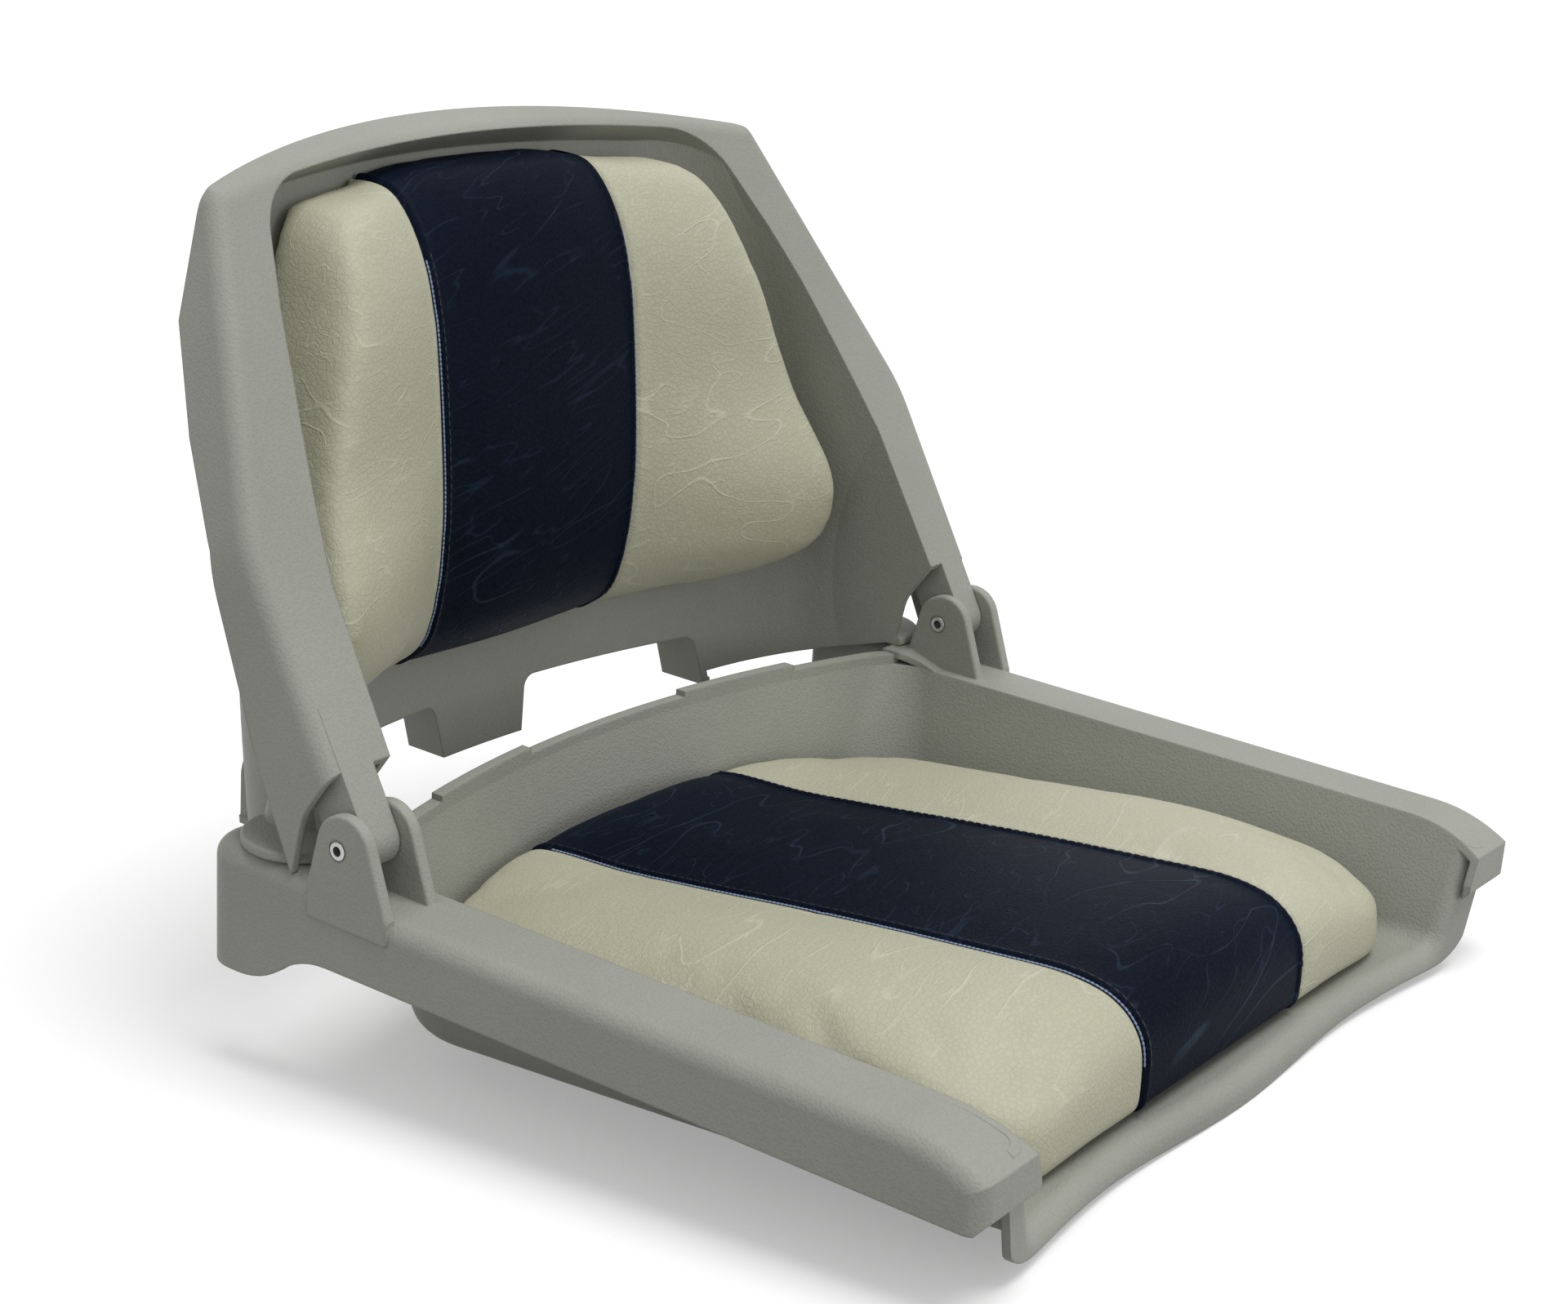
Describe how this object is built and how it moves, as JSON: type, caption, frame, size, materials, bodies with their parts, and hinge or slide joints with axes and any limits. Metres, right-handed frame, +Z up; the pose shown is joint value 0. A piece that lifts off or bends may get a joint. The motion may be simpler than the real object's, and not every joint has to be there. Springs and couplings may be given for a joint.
{
  "type": "folding boat seat",
  "caption": "Folding boat seat: ribbed plastic pan with raised side rails, backrest folding forward on hollow hinge pins, striped cushions, threaded bolt pattern underneath.",
  "frame": {"origin": "centre of the four-hole mounting pattern, on the flat underside of the pan's ribs", "axes": "+X to the sitter's left as seen from the front, across the seat; +Y towards the backrest; +Z up, away from the mounting face"},
  "size_m": [0.5088, 0.5145, 0.4228],
  "materials": {
    "plastic_grey": "pebble grain, matte",
    "vinyl_ivory": "coated marine fabric, fine creases, satin",
    "vinyl_navy": "coated marine fabric, fine creases, satin",
    "foam": "open-cell foam, matte",
    "plywood": "plain",
    "aluminium": "plain rolled rivet",
    "stainless": "plain",
    "brass": "plain"
  },
  "bodies": {
    "seat": {"seat_shell": "plastic_grey", "hinge_pin_left": "aluminium", "hinge_pin_right": "aluminium", "seat_cover_left": "vinyl_ivory", "seat_cover_centre": "vinyl_navy", "seat_cover_right": "vinyl_ivory", "seat_cushion_foam": "foam", "seat_cushion_board": "plywood", "seat_cushion_nuts": "stainless", "seat_cushion_screws": "stainless", "mount_inserts": "brass"},
    "backrest": {"backrest_shell": "plastic_grey", "back_cover_left": "vinyl_ivory", "back_cover_centre": "vinyl_navy", "back_cover_right": "vinyl_ivory", "back_cushion_foam": "foam", "back_cushion_board": "plywood", "back_cushion_nuts": "stainless", "back_cushion_screws": "stainless"}
  },
  "joints": [
    {"name": "backrest_fold", "type": "hinge", "parent": "seat", "child": "backrest", "pos_m": [0, 0.10393, 0.12672], "axis": [1, 0, 0], "range_deg": [0, 120]}
  ]
}
